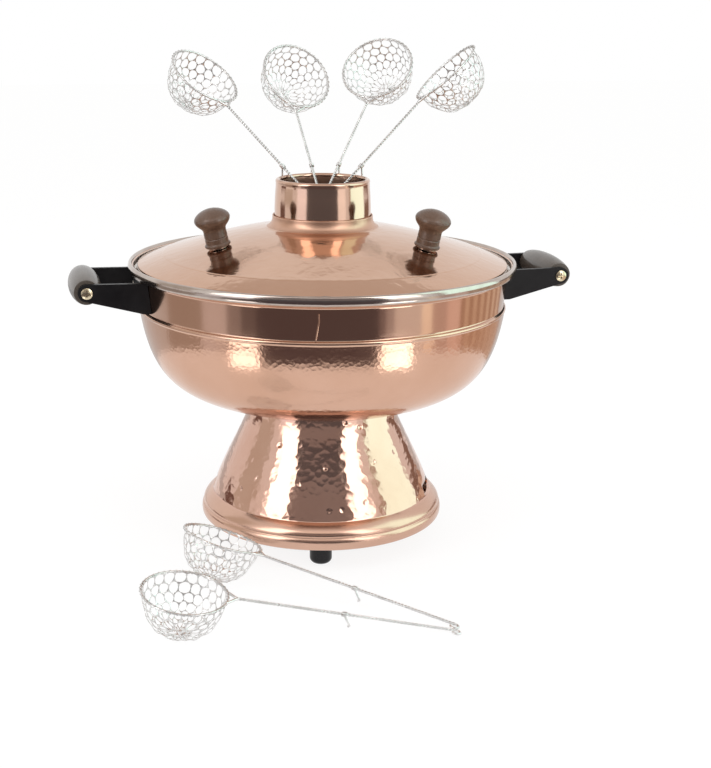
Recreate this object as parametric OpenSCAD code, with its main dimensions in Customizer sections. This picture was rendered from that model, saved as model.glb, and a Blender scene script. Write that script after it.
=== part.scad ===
// Chimney hot pot with six wire skimmers.
// Millimetres, +Z up. The origin is on the table, on the pot's own axis. X runs along the handles.

/* [Pedestal] */
// Height of the flange's lower edge above the table, which is the length of a foot
foot_h = 17; // [14:1:20]
// Diameter of a foot
foot_d = 16; // [13:1:18]
// Distance of a foot's axis inside the flange's edge
foot_inset = 23.5; // [20.5:0.5:27.5]
// Height of the pedestal, from the flange's lower edge to the neck
pedestal_h = 71.5; // [66:0.5:80]
// Diameter over the flange
flange_d = 179; // [172:1:190]
// Height of the smooth flange below the hammered cone
flange_h = 17; // [15:1:19]
// How far the flange stands out from the foot of the hammered cone
flange_out = 8; // [6.5:0.5:10]
// Diameter of the neck between pedestal and bowl
neck_d = 115; // [110:1:120]
// Height of a draught slot
vent_h = 7.5; // [6:0.5:10]
// Width of a draught slot
vent_w = 34; // [24:1:40]
// Thickness of the copper sheet
copper_t = 1.5; // [1.2:0.1:1.8]

/* [Bowl] */
// Height of the hammered bowl above the neck
bowl_h = 85.5; // [80:0.5:92]
// Largest diameter of the hammered bowl
bowl_d = 264; // [258:1:266]
// Height of the smooth band above the bowl's shoulder
band_h = 22; // [18:1:26]
// Depth of the step where the band starts
band_step = 1.2; // [0.8:0.1:1.6]
// Diameter over the rim bead
rim_d = 280; // [276:1:286]
// Radius of the rim bead
bead_r = 2.4; // [2:0.1:2.8]
// Height of the flared lip, from the band to the bead's centre
lip_h = 6.6; // [6:0.2:8]

/* [Flue] */
// Outer diameter of the chimney
flue_d = 69; // [66:1:72]
// Height of the chimney's top above the rim bead's centre
flue_rise = 59.5; // [56:0.5:66]
// Narrowing of the chimney's radius at its top
flue_taper = 1.2; // [0.6:0.2:1.6]
// Radius of the rolled top edge
roll_r = 1.75; // [1.5:0.05:1.9]
// Outer diameter of the fire shaft at its foot
shaft_d = 126; // [122:1:128]
// Thickness of the fire grate
grate_t = 2.5; // [2:0.5:4]
// Width of a slot in the fire grate
grate_slot_w = 5; // [4:0.5:6]

/* [Lid] */
// Gap between the lid's edge and the rim bead
lid_rim_gap = 2.6; // [2.2:0.1:3]
// Width of the sloping brim
brim_w = 18.5; // [16:0.5:21]
// Rise of the brim
brim_rise = 6.9; // [6:0.1:8]
// Rise of the dome above the brim
dome_rise = 17.7; // [15:0.1:20]
// Height of the collar above the dome
collar_h = 8.8; // [7:0.2:11]
// Thickness of the lid's sheet
lid_t = 1.2; // [1:0.1:1.5]
// Running gap between the lid and what it seats on
lid_gap = 0.3; // [0.2:0.05:0.4]
// Radius of the circle that the knobs stand on
knob_circle_r = 83; // [80:1:86]
// Height of a knob
knob_h = 27.5; // [26:0.5:31]
// Diameter of a knob's head
knob_d = 25; // [22:0.5:27]
// Diameter of a knob's foot
knob_foot_d = 18; // [16:0.5:20]
// Tilt of a knob, away from the chimney
knob_tilt = 13; // [12:0.5:15]

/* [Handles] */
// Distance of the grip's axis outside the rim bead
grip_out = 30.5; // [28:0.5:34]
// Drop of the grip's axis below the rim bead's centre
grip_drop = 11; // [10:0.5:12]
// Width over the two arms of a handle
handle_w = 66; // [60:1:70]
// Thickness of an arm
arm_t = 3.5; // [3:0.5:4.5]
// Height of an arm where it leaves the bowl
arm_root_h = 21.5; // [19:0.5:22]
// Radius of an arm's round end
arm_end_r = 6; // [5.5:0.5:7]
// Largest diameter of the grip
grip_d = 22; // [20:0.5:24]
// Diameter of the grip's ends
grip_end_d = 17; // [15:0.5:18]
// Diameter of the handle bolt
bolt_d = 5; // [4:0.5:5.5]

/* [Skimmers] */
// Diameter of a skimmer's ring, on the wire's centre line
ring_d = 55; // [52:1:57]
// Diameter of the ring's wire
ring_wire_d = 2; // [1.6:0.2:2.2]
// Diameter over the twisted handle
handle_wire_d = 2.2; // [1.8:0.1:2.3]
// Length of the handle from the neck of the ring to the catch
upper_len = 74; // [70:1:78]
// Length of the handle from the catch to its end
lower_len = 66; // [64:1:67]
// Depth of the basket
basket_depth = 30; // [26:1:33]
// Number of cells round the basket
cells_round = 9; // [7:1:9]
// Number of rows of cells
cell_rows = 4; // [3:1:4]
// Width of a strand of the net
strand_w = 1.2; // [1:0.1:1.5]
// Thickness of the net
strand_t = 1; // [0.8:0.1:1.2]

/* [Hidden] */
$fn = 96;

copper = [0.80, 0.56, 0.45];
tin = [0.86, 0.85, 0.83];
black = [0.13, 0.13, 0.14];
wood = [0.42, 0.35, 0.28];
steel = [0.78, 0.78, 0.78];
iron = [0.32, 0.31, 0.30];

play = 0.2;           // gap between parts that are fixed together
hole_play = 0.1;      // radial gap of a screw, bolt or rivet in its hole
cut = 1;              // how far a cutting shape runs past what it cuts
layout_turn = -12.5;  // turn of the feet, knobs and skimmers against the handles
curve_steps = 14;     // straight pieces in a curve of an outline

// ---- heights and radii that several parts share

neck_r = neck_d / 2;
neck_z = foot_h + pedestal_h;
shoulder_r = bowl_d / 2;
shoulder_z = neck_z + bowl_h;
step_h = 3.5;                     // height that the step between bowl and band takes
band_z = shoulder_z + step_h;
band_foot_r = shoulder_r - band_step;
bead_circle_r = rim_d / 2 - bead_r;
band_top_z = band_z + band_h;
bead_z = band_top_z + lip_h;
lip_w = 3.2;                      // how far the lip flares from the band's top
lip_inset = 1;                    // how far the lip's edge lies inside the bead's centre
lip_foot_r = bead_circle_r - lip_w - lip_inset;
lip_top_z = bead_z - bead_r - play;
flange_r = flange_d / 2;
foot_circle_r = flange_r - foot_inset;
flue_r = flue_d / 2;
flue_top_z = bead_z + flue_rise;
shaft_r = shaft_d / 2;

// ---- outlines

// A cubic curve from a to d, leaving towards b and arriving from c
function curve(a, b, c, d, steps = curve_steps) = [
    for (i = [0 : steps]) let (t = i / steps, s = 1 - t)
        s * s * s * a + 3 * s * s * t * b + 3 * s * t * t * c + t * t * t * d
];
function unit(v) = v / norm(v);
function left_of(v) = [-v.y, v.x];
// The direction of an outline at its point i
function run(path, i) = unit(path[min(i + 1, len(path) - 1)] - path[max(i - 1, 0)]);
// The same outline moved sideways by d, to the left of its direction
function beside(path, d) = [for (i = [0 : len(path) - 1]) path[i] + d * left_of(run(path, i))];
function reversed(path) = [for (i = [len(path) - 1 : -1 : 0]) path[i]];
// Height of a face at radius r, where its radius falls from point to point
function height_at(path, r, i = 0) =
    path[i + 1].x <= r
    ? path[i].y + (path[i + 1].y - path[i].y) * (path[i].x - r) / (path[i].x - path[i + 1].x)
    : height_at(path, r, i + 1);

// A sheet turned round the axis: its face is path and it is t thick, to the left of the path
module turned_sheet(path, t) {
    rotate_extrude() polygon(concat(path, reversed(beside(path, t))));
}

// The bowl's outer face, from the neck up to the lip
floor_slope = 24;      // slope of the bowl's floor where it leaves the neck
shoulder_lean = 8.5;   // lean of the bowl's wall at the shoulder
floor_join = [neck_r + 14.5, neck_z + 14];
shoulder = [shoulder_r, shoulder_z];
belly_w = shoulder_r - floor_join.x;
neck_curve = curve(
    [neck_r, neck_z], [neck_r + 3, neck_z + 5.5], [neck_r + 7.5, neck_z + 10.5], floor_join, 6
);
belly_curve = curve(
    floor_join,
    floor_join + belly_w * 2 / 3 * [cos(floor_slope), sin(floor_slope)],
    shoulder - 0.56 * bowl_h * [sin(shoulder_lean), cos(shoulder_lean)],
    shoulder
);
bowl_face = concat(
    neck_curve,
    [for (i = [1 : len(belly_curve) - 1]) belly_curve[i]],
    [
        [band_foot_r, band_z],
        [lip_foot_r, band_top_z],
        [lip_foot_r + lip_w, lip_top_z]
    ]
);

// The pedestal's outer face, from the flange's lower edge up to the neck
cone_foot = [flange_r - flange_out, foot_h + flange_h];
crease = [flange_r - 1.8, foot_h + 8];
flange_edge_r = flange_r - 2.2;       // radius of the flange's lower edge
pedestal_face = concat(
    [[flange_edge_r, foot_h], [flange_r - 0.4, foot_h + 1.2]],
    [[flange_r, foot_h + 3], [flange_r - 0.6, foot_h + 5.6]],
    curve(crease, crease + [-3.2, 1.2], cone_foot + [1.6, -4.6], cone_foot, 6),
    [for (p = curve(
        cone_foot, cone_foot + [-6.5, 20], [neck_r + 8, neck_z - 18], [neck_r, neck_z - play], 10
    )) if (p.y > cone_foot.y) p]
);

// The flue's outer face, from the foot of the fire shaft to the top
roll_out = 0.45;              // how far the rolled edge stands out from the narrowed chimney
roll_circle_r = flue_r - flue_taper - roll_r + roll_out;
roll_z = flue_top_z - roll_r;
straight_z = bead_z + 6;      // where the fire shaft has narrowed to the chimney
taper_z = bead_z + 40;        // where the chimney starts to narrow
shaft_foot_z = height_at(reversed(beside(bowl_face, copper_t)), shaft_r) + play;    // on the bowl's floor
shaft_h = straight_z - shaft_foot_z;
flue_face = concat(
    curve(
        [shaft_r, shaft_foot_z], [shaft_r - 3, shaft_foot_z + 0.32 * shaft_h],
        [flue_r, straight_z - 0.41 * shaft_h], [flue_r, straight_z]
    ),
    [[flue_r, taper_z], [roll_circle_r + roll_r - 0.2, roll_z - 1.2]]
);

// The lid's upper face, from its edge to the top of its collar
lid_r = bead_circle_r - bead_r - lid_rim_gap;
lid_edge_z = bead_z + 0.5;
brim_top = [lid_r - brim_w, lid_edge_z + brim_rise];
collar_r = flue_r + lid_gap + lid_t;
dome_top = [collar_r + 6, brim_top.y + dome_rise];
collar_top_z = dome_top.y + collar_h;
dome_curve = curve(brim_top, brim_top + [-18, 4.7], dome_top + [30, -4.2], dome_top);
collar_curve = curve(
    dome_top, dome_top + [-3.5, 0.8], [collar_r + 0.6, dome_top.y + 2.6], [collar_r, dome_top.y + 6], 6
);
lid_face = concat(
    [[lid_r, lid_edge_z]], dome_curve, [for (i = [1 : 6]) collar_curve[i]], [[collar_r, collar_top_z]]
);

// ---- pot

module bowl() {
    color(copper) difference() {
        turned_sheet(bowl_face, copper_t);
        for (side = [0, 180]) rivet_places(side) cylinder(r = rivet_r + hole_play, h = 30, center = true);
    }
}

module rim_ring() {
    color(tin) rotate_extrude() translate([bead_circle_r, bead_z]) circle(bead_r, $fn = 48);
}

module flue() {
    color(copper) {
        turned_sheet(flue_face, lid_t);
        rotate_extrude() translate([roll_circle_r, roll_z]) circle(roll_r, $fn = 48);
    }
}

sleeve_t = 1.8;
sleeve_r = neck_r - copper_t - 0.5;    // the sleeve's outer radius, just inside the sheet at the neck
sleeve_down = 7;                       // how far the sleeve reaches below the neck
sleeve_up = 6;                         // how far it reaches above the neck
ledge_w = 5;                           // width of the ledge inside the sleeve
ledge_z = neck_z + 1.5;                // top of the ledge, which carries the grate

module neck_sleeve() {
    color(copper) difference() {
        translate([0, 0, neck_z - sleeve_down]) cylinder(r = sleeve_r, h = sleeve_down + sleeve_up);
        translate([0, 0, ledge_z]) cylinder(r = sleeve_r - sleeve_t, h = sleeve_up + cut);
        translate([0, 0, neck_z - sleeve_down - cut])
            cylinder(r = sleeve_r - sleeve_t - ledge_w, h = 3 * sleeve_down);
        translate([0, 0, neck_z - sleeve_down - cut])
            cylinder(r = sleeve_r - sleeve_t, h = sleeve_down + cut + ledge_z - neck_z - sleeve_t);
    }
}

grate_r = sleeve_r - sleeve_t - play;
grate_pitch = 2 * grate_slot_w;
grate_margin = ledge_w + 3;            // solid edge round the grate's slots

module fire_grate() {
    color(iron) difference() {
        translate([0, 0, ledge_z]) cylinder(r = grate_r, h = grate_t);
        for (x = [-3 : 3]) let (half = sqrt(pow(grate_r - grate_margin, 2) - pow(x * grate_pitch, 2)))
            translate([x * grate_pitch - grate_slot_w / 2, -half, ledge_z - cut])
                cube([grate_slot_w, 2 * half, grate_t + 2 * cut]);
    }
}

vent_z = cone_foot.y + 0.5;    // lower edge of the draught slots
vent_turn = -19;               // turn of the draught slots against the handles

module pedestal() {
    color(copper) difference() {
        turned_sheet(pedestal_face, copper_t);
        rotate([0, 0, vent_turn]) translate([-flange_r - cut, -vent_w / 2, vent_z])
            cube([flange_d + 2 * cut, vent_w, vent_h]);
    }
}

base_t = 1.5;
base_r = flange_edge_r - copper_t - play;
base_hole_r = foot_circle_r - 16;
base_z = foot_h + 0.3;
ash_r = foot_circle_r - 7;     // clears the heads of the foot screws
ash_t = 1;
ash_rim_h = 5;

module base_ring() {
    color(copper) difference() {
        translate([0, 0, base_z]) cylinder(r = base_r, h = base_t);
        translate([0, 0, base_z - cut]) cylinder(r = base_hole_r, h = base_t + 2 * cut);
        foot_places() translate([0, 0, base_z - cut])
            cylinder(r = screw_r + hole_play, h = base_t + 2 * cut);
    }
}

module ash_plate() {
    color(iron) translate([0, 0, base_z + base_t]) {
        difference() {
            cylinder(r = ash_r, h = ash_rim_h);
            translate([0, 0, ash_t]) cylinder(r = ash_r - ash_t, h = ash_rim_h);
        }
    }
}

screw_r = 2;
screw_head_r = 4;
foot_screw_depth = 10;

// Puts its children at foot number k, or at each foot
module foot_places(k = [0 : 2]) {
    for (i = k) rotate([0, 0, layout_turn - 90 + 120 * i]) translate([foot_circle_r, 0, 0]) children();
}

module foot(i) {
    round_r = 4;
    color(black) foot_places([i]) difference() {
        rotate_extrude() difference() {
            union() {
                square([foot_d / 2 - round_r, foot_h]);
                translate([0, round_r]) square([foot_d / 2, foot_h - round_r]);
                translate([foot_d / 2 - round_r, round_r]) circle(round_r, $fn = 48);
            }
            translate([-foot_d, -foot_h]) square([foot_d, 3 * foot_h]);
        }
        translate([0, 0, base_z - foot_screw_depth])
            cylinder(r = screw_r + hole_play, h = foot_screw_depth + cut);
    }
}

module foot_screw(i) {
    color(steel) foot_places([i]) {
        translate([0, 0, base_z + base_t]) pan_head(screw_head_r, 2);
        translate([0, 0, base_z - foot_screw_depth + 1])
            cylinder(r = screw_r, h = foot_screw_depth - 1 + base_t + 0.5);
    }
}

// A low domed screw head standing on z = 0, with a cross recess
module pan_head(r, h) {
    difference() {
        intersection() {
            cylinder(r = r, h = h);
            translate([0, 0, h - 2.2 * r]) sphere(r = 2.2 * r);
        }
        for (turn = [0, 90]) rotate([0, 0, turn]) translate([-0.6 * r, -0.11 * r, 0.45 * h])
            cube([1.2 * r, 0.22 * r, h]);
    }
}

// ---- handles

grip_x = rim_d / 2 + grip_out;
grip_z = bead_z - grip_drop;
arm_y = handle_w / 2 - arm_t;              // an arm's inner face
arm_root_top = grip_z + arm_end_r - 0.5;
plate_t = 2.5;
plate_w = handle_w - 1;    // the plate ends inside the thickness of the arms
bolt_r = bolt_d / 2;
rivet_r = 2;
rivet_y = 17;
rivet_z = arm_root_top - arm_root_h / 2;

// Radius of the band's outer face at height z
function band_r_at(z) = band_foot_r + (lip_foot_r - band_foot_r) * (z - band_z) / band_h;

// Puts its children on the band, their Z along the rivet, square to the band and outwards
module rivet_places(side) {
    band_lean = atan2(lip_foot_r - band_foot_r, band_h);
    for (turn = [-1, 1] * asin(rivet_y / band_r_at(rivet_z)))
        rotate([0, 0, side + turn]) translate([band_r_at(rivet_z), 0, rivet_z])
            rotate([0, 90 + band_lean, 0]) children();
}

// What lies within the outer face of the band and the lip, when that face is moved outwards by out
module band_core(out) {
    low_z = arm_root_top - arm_root_h - cut;
    rotate_extrude() polygon([
        [0, low_z], [band_r_at(low_z) + out, low_z], [lip_foot_r + out, band_top_z],
        [lip_foot_r + lip_w + out, lip_top_z], [0, lip_top_z]
    ]);
}

module arm_outline() {
    root_x = shoulder_r - 8;
    polygon([
        [root_x, arm_root_top - arm_root_h], [rim_d / 2 - 8, arm_root_top - arm_root_h],
        [grip_x, grip_z - arm_end_r], [grip_x, grip_z + arm_end_r], [rim_d / 2, arm_root_top],
        [root_x, arm_root_top]
    ]);
    translate([grip_x, grip_z]) circle(arm_end_r, $fn = 64);
}

module bracket(side) {
    color(black) rotate([0, 0, side]) difference() {
        union() {
            for (y = [arm_y + arm_t, -arm_y])
                translate([0, y, 0]) rotate([90, 0, 0]) linear_extrude(arm_t) arm_outline();
            intersection() {
                band_core(play + plate_t);
                translate([shoulder_r - 12, -plate_w / 2, arm_root_top - arm_root_h])
                    cube([20, plate_w, arm_root_h]);
            }
        }
        band_core(play);
        translate([grip_x, 0, grip_z]) rotate([90, 0, 0])
            cylinder(r = bolt_r + hole_play, h = handle_w + 2 * cut, center = true);
        rivet_places(0) cylinder(r = rivet_r + hole_play, h = 30, center = true);
    }
}

module rivets(side) {
    head_r = 4;
    head_h = 1.6;
    curve_gap = 0.3;                       // keeps a head clear of the curve of what it holds
    outer = play + plate_t + curve_gap;    // where the outer head starts
    inner = -copper_t - play - curve_gap;  // where the inner head starts
    color(steel) rivet_places(side) {
        translate([0, 0, outer]) pan_dome(head_r, head_h);
        translate([0, 0, inner - 0.8]) cylinder(r = head_r * 0.8, h = 0.8);
        translate([0, 0, inner - 0.4]) cylinder(r = rivet_r, h = outer - inner + 0.8);
    }
}

// A plain low dome standing on z = 0
module pan_dome(r, h) {
    intersection() {
        cylinder(r = r, h = h);
        translate([0, 0, h - 2.2 * r]) sphere(r = 2.2 * r);
    }
}

grip_len = 2 * (arm_y - play);

module grip(side) {
    barrel = curve(
        [grip_end_d / 2, -grip_len / 2], [grip_d / 2 + 1, -grip_len / 4], [grip_d / 2 + 1, grip_len / 4],
        [grip_end_d / 2, grip_len / 2]
    );
    color(wood) rotate([0, 0, side]) translate([grip_x, 0, grip_z]) rotate([90, 0, 0]) rotate_extrude()
        polygon(concat(
            [[bolt_r + hole_play, -grip_len / 2]], barrel, [[bolt_r + hole_play, grip_len / 2]]
        ));
}

bolt_head_r = 3.9;
bolt_head_h = 1.8;
nut_h = 3;

// The bolt's head is at the front arm and its nut at the rear one, on either handle
module bolt(side, front) {
    color(steel) rotate([0, 0, side]) translate([grip_x, front * handle_w / 2, grip_z])
    rotate([-90 * front, 0, 0]) {
        pan_head(bolt_head_r, bolt_head_h);
        translate([0, 0, -handle_w - nut_h - 1]) cylinder(r = bolt_r, h = handle_w + nut_h + 1.5);
    }
}

module nut(side, front) {
    color(steel) rotate([0, 0, side]) translate([grip_x, -front * handle_w / 2, grip_z])
        rotate([90 * front, 0, 0]) difference() {
            cylinder(r = bolt_r * 1.8, h = nut_h, $fn = 6);
            translate([0, 0, -cut]) cylinder(r = bolt_r + hole_play, h = nut_h + 2 * cut);
        }
}

// ---- lid

knob_seat_z = height_at(lid_face, knob_circle_r) + 0.6;    // the washer just clears the dome's curve
washer_t = 0.8;
washer_r = knob_foot_d / 2 - 2;

// Puts its children at knob i, their Z along the knob
module knob_place(i) {
    rotate([0, 0, layout_turn - 30 + 120 * i]) translate([knob_circle_r, 0, knob_seat_z])
        rotate([0, knob_tilt, 0]) children();
}

// The lip's inner face, as a height at radius r: the lid's skirt stands on it
lip_inner_foot = [lip_foot_r - copper_t, band_top_z + 0.4];
lip_inner_slope = (lip_top_z - band_top_z) / lip_w;
skirt_z = lip_inner_foot.y + (lid_r - lip_inner_foot.x) * lip_inner_slope + lid_gap * 2;

module lid() {
    color(copper) difference() {
        union() {
            turned_sheet(lid_face, lid_t);
            translate([0, 0, skirt_z]) difference() {
                cylinder(r = lid_r, h = lid_edge_z - skirt_z);
                translate([0, 0, -cut]) cylinder(r = lid_r - lid_t, h = lid_edge_z - skirt_z + 2 * cut);
            }
        }
        for (i = [0 : 2]) knob_place(i) cylinder(r = screw_r + hole_play, h = 12, center = true);
    }
}

module knob(i) {
    head_r = knob_d / 2;
    foot_r = knob_foot_d / 2;
    waist = [0.88 * foot_r, 0.42 * knob_h];
    brow = [head_r, 0.73 * knob_h];
    stem_r = waist.x + 0.15;         // the stem swells a little below its waist
    groove_z = 0.26 * knob_h;        // a turned groove round the stem
    hole_r = screw_r + hole_play;
    hole_h = 15;
    outline = concat(
        [[hole_r, washer_t], [foot_r - 0.5, washer_t], [foot_r, washer_t + 0.6], [foot_r, washer_t + 1.6]],
        [[foot_r - 0.5, washer_t + 2.1], [stem_r, washer_t + 2.7]],
        [[stem_r, groove_z - 0.6], [stem_r - 0.4, groove_z], [stem_r, groove_z + 0.6], waist],
        curve(waist + [0.05, 1], waist + [0.1, 3.4], [head_r - 0.6, 0.59 * knob_h], brow, 8),
        curve(brow + [0, 0.4], [head_r, 0.86 * knob_h], [head_r * 0.52, knob_h], [0, knob_h], 8),
        [[0, hole_h], [hole_r, hole_h]]
    );
    color(wood) knob_place(i) rotate_extrude() polygon(outline);
}

module knob_washer(i) {
    color(tin) knob_place(i) difference() {
        cylinder(r = washer_r, h = washer_t);
        translate([0, 0, -cut]) cylinder(r = screw_r + hole_play, h = washer_t + 2 * cut);
    }
}

module knob_screw(i) {
    below = lid_t + 1.5;       // the head sits this far under the washer's foot, below the lid
    color(steel) knob_place(i) {
        translate([0, 0, -below]) rotate([180, 0, 0]) pan_head(screw_head_r, 1.8);
        translate([0, 0, -below - 0.5]) cylinder(r = screw_r, h = below + 0.5 + 13);
    }
}

// ---- skimmers
// A skimmer's own frame: its handle lies along X, with the catch at the origin and the ring at +X.
// The basket hangs below the ring, towards -Z.

ring_r = ring_d / 2;
ring_wire_r = ring_wire_d / 2;
handle_wire_r = handle_wire_d / 2;
neck_out = 6;               // how far the wires run together outside the ring
end_hook_r = 2.6;
catch_at = 6;               // where the catch leaves the handle
catch_len = 8.5;
hang_gap = 0.35;            // gap between a hanging handle and the rolled top edge

// The handle passes over the rolled edge this far above the roll's centre, for a handle leaning by lean
function hang_z(lean) = roll_z + (roll_r + handle_wire_r + hang_gap) / sin(lean);

// Hanging skimmers: where they cross the chimney's edge (an angle round it), which way the handle points,
// how far it leans from upright, roll about the handle, bend at the ring's neck, tilt of the end hook
hanging = [
    [143, 138, 54.5, 5, 5, 0],
    [103, 102, 60, 17, 23, 120],
    [72, 67, 53.5, 0, 14, 0],
    [41, 36, 50.5, -19, 0, 0]
];
// Lying skimmers: place of the catch over the table, which way the handle points, roll, bend
lying = [
    [21, -flange_r - 95.5, 183, -5, -2],
    [28, -flange_r - 55.5, 154.5, 16, 3]
];
basket_rest_h = basket_depth + 0.4;      // height of a lying skimmer's ring: its basket just clears the table
end_rest_h = handle_wire_r + 0.5;        // height of its handle's end
// Slope of a lying handle that sets the end and the basket on the table
function lying_slope(roll, bend) =
    let (along = lower_len + upper_len + (ring_r + neck_out) * cos(bend))
    let (across = (ring_r + neck_out) * sin(bend) * cos(roll))
    asin((basket_rest_h - end_rest_h) / norm([along, across])) - atan2(across, along);

// Puts its children in skimmer k's own frame
module skimmer_place(k) {
    if (k <= len(hanging)) {
        h = hanging[k - 1];
        rotate([0, 0, layout_turn])
            translate([roll_circle_r * cos(h[0]), roll_circle_r * sin(h[0]), hang_z(h[2])])
                rotate([0, h[2] - 90, h[1]]) children();
    } else {
        l = lying[k - 1 - len(hanging)];
        slope = lying_slope(l[3], l[4]);
        rotate([0, 0, layout_turn]) translate([l[0], l[1], end_rest_h + lower_len * sin(slope)])
            rotate([0, -slope, l[2]]) children();
    }
}
function skimmer_roll(k) = k <= len(hanging) ? hanging[k - 1][3] : lying[k - 1 - len(hanging)][3];
function skimmer_bend(k) = k <= len(hanging) ? hanging[k - 1][4] : lying[k - 1 - len(hanging)][4];
function hook_tilt(k) = k <= len(hanging) ? hanging[k - 1][5] : 0;

// Puts its children in the ring's frame: its centre is the origin and the basket's axis is Z
module ring_frame(k) {
    rotate([skimmer_roll(k), 0, 0]) translate([upper_len, 0, 0]) rotate([0, -skimmer_bend(k), 0])
        translate([ring_r + neck_out, 0, 0]) children();
}

// A straight round rod from a to b
module rod(a, b, r) {
    d = b - a;
    translate(a) rotate([0, acos(d.z / norm(d)), atan2(d.y, d.x)]) cylinder(r = r, h = norm(d), $fn = 32);
}

module skimmer_wire(k) {
    spread = 14;      // half the angle between the two wires where they leave the ring
    color(steel) skimmer_place(k) {
        ring_frame(k) {
            rotate_extrude() translate([ring_r, 0]) circle(ring_wire_r, $fn = 32);
            for (s = [-spread, spread])
                rod([-ring_r * cos(s), ring_r * sin(s), 0], [-ring_r - neck_out, 0, 0], ring_wire_r * 0.9);
        }
        translate([upper_len, 0, 0]) sphere(r = handle_wire_r * 1.15, $fn = 32);
        rod([-lower_len, 0, 0], [upper_len, 0, 0], handle_wire_r);
        rotate([hook_tilt(k), 0, 0]) translate([-lower_len, end_hook_r, 0]) rotate([0, 0, 70])
            rotate_extrude(angle = 200) translate([end_hook_r, 0]) circle(handle_wire_r * 0.8, $fn = 32);
    }
}

// The prong that hooks over the chimney's edge: it leaves the handle downwards and points back at its end
module skimmer_catch(k) {
    lean_back = 35;
    prong_r = ring_wire_r * 0.8;
    under = handle_wire_r + prong_r * sin(lean_back) + 0.1;    // how far under the handle's axis it starts
    color(steel) skimmer_place(k) translate([catch_at, 0, -under]) rotate([0, 180 + lean_back, 0]) {
        cylinder(r = prong_r, h = catch_len, $fn = 32);
        translate([0, 0, catch_len]) sphere(r = ring_wire_r * 1.1, $fn = 32);
    }
}

// The net: rows of six-sided cells on a round-bottomed basket. Vertex j, i is on zigzag j (0 is the rim),
// at step i round it, and face is 0 outside and 1 inside.
steps_round = 2 * cells_round;
net_r = ring_r - ring_wire_r - 0.15;
net_end = 83;               // where the last zigzag lies, in degrees down the basket's wall
net_full = 0.75;            // 1 makes the wall an ellipse, less makes it fuller
function zig(j) = j == 0 || j == cell_rows ? 0 : 0.17 * net_end / cell_rows;
function net_point(down, turn, face) =
    let (r = net_r - face * strand_t, d = basket_depth - face * strand_t, c = pow(cos(down), net_full))
    [r * c * cos(turn), r * c * sin(turn), -d * sin(down)];
function net_vertex(j, i, face) =
    net_point(j * net_end / cell_rows - zig(j) * ((i + j) % 2 == 0 ? 1 : -1), i * 180 / cells_round, face);
// The corners of the cell below zigzag j whose middle is at step i
function cell_corners(j, i) = [[j, i - 1], [j, i], [j, i + 1], [j + 1, i + 1], [j + 1, i], [j + 1, i - 1]];
function mean(v) = v * [for (p = v) 1] / len(v);
function inset(p, middle) = p + (middle - p) * min(0.45, 0.65 * strand_w / norm(middle - p));
net_cells = [for (j = [0 : cell_rows - 1]) for (i = [0 : steps_round - 1]) if ((i + j) % 2 == 0) [j, i]];
function corner_index(j, i, face) =
    (face * (cell_rows + 1) + j) * steps_round + (i + steps_round) % steps_round;
corner_count = 2 * (cell_rows + 1) * steps_round;
function hole_index(cell, corner, face) = corner_count + (cell * 2 + face) * 6 + corner % 6;
function quad(a, b, c, d) = [[a, b, c], [a, c, d]];

module skimmer_net(k) {
    corners = [
        for (face = [0, 1]) for (j = [0 : cell_rows]) for (i = [0 : steps_round - 1]) net_vertex(j, i, face)
    ];
    holes = [
        for (cell = net_cells) for (face = [0, 1])
            let (p = [for (c = cell_corners(cell[0], cell[1])) net_vertex(c[0], c[1], face)])
            let (middle = [for (axis = [0 : 2]) mean([for (q = p) q[axis]])])
            for (q = p) inset(q, middle)
    ];
    cell_faces = [
        for (n = [0 : len(net_cells) - 1])
            let (c = cell_corners(net_cells[n][0], net_cells[n][1]))
            for (m = [0 : 5]) let (a = c[m], b = c[(m + 1) % 6])
            for (tri = concat(
                quad(corner_index(a[0], a[1], 0), corner_index(b[0], b[1], 0),
                     hole_index(n, m + 1, 0), hole_index(n, m, 0)),
                quad(corner_index(b[0], b[1], 1), corner_index(a[0], a[1], 1),
                     hole_index(n, m, 1), hole_index(n, m + 1, 1)),
                quad(hole_index(n, m, 0), hole_index(n, m + 1, 0),
                     hole_index(n, m + 1, 1), hole_index(n, m, 1))
            )) tri
    ];
    edge_faces = [
        for (i = [0 : steps_round - 1]) for (tri = concat(
            quad(corner_index(0, i, 1), corner_index(0, i + 1, 1),
                 corner_index(0, i + 1, 0), corner_index(0, i, 0)),
            quad(corner_index(cell_rows, i, 0), corner_index(cell_rows, i + 1, 0),
                 corner_index(cell_rows, i + 1, 1), corner_index(cell_rows, i, 1))
        )) tri
    ];
    color(steel) skimmer_place(k) ring_frame(k)
        polyhedron(points = concat(corners, holes), faces = concat(cell_faces, edge_faces));
}

// ---- the model

bowl();
rim_ring();
flue();
fire_grate();
neck_sleeve();
pedestal();
base_ring();
ash_plate();
bracket(180);  // bracket_left
bracket(0);  // bracket_right
rivets(180);  // rivets_left
rivets(0);  // rivets_right
grip(180);  // grip_left
grip(0);  // grip_right
bolt(180, 1);  // bolt_left
bolt(0, -1);  // bolt_right
nut(180, 1);  // nut_left
nut(0, -1);  // nut_right
lid();
for (i = [0 : 2]) {
    foot(i);
    foot_screw(i);
    knob(i);
    knob_washer(i);
    knob_screw(i);
}
for (k = [1 : len(hanging) + len(lying)]) {
    skimmer_wire(k);
    skimmer_net(k);
    skimmer_catch(k);
}
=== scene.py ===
# %% [markdown]
# A chimney hot pot in copper
#
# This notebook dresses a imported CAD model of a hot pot: a hammered copper bowl on a pedestal, a
# chimney through the lid, and six wire skimmers. The CAD model is the fixed frame. Every piece made
# here is in metres in that frame, and rides on one of its bodies, so that it moves when a joint
# moves.

# %% Load the frame
import math

import bpy
from mathutils import Matrix, Vector


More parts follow.
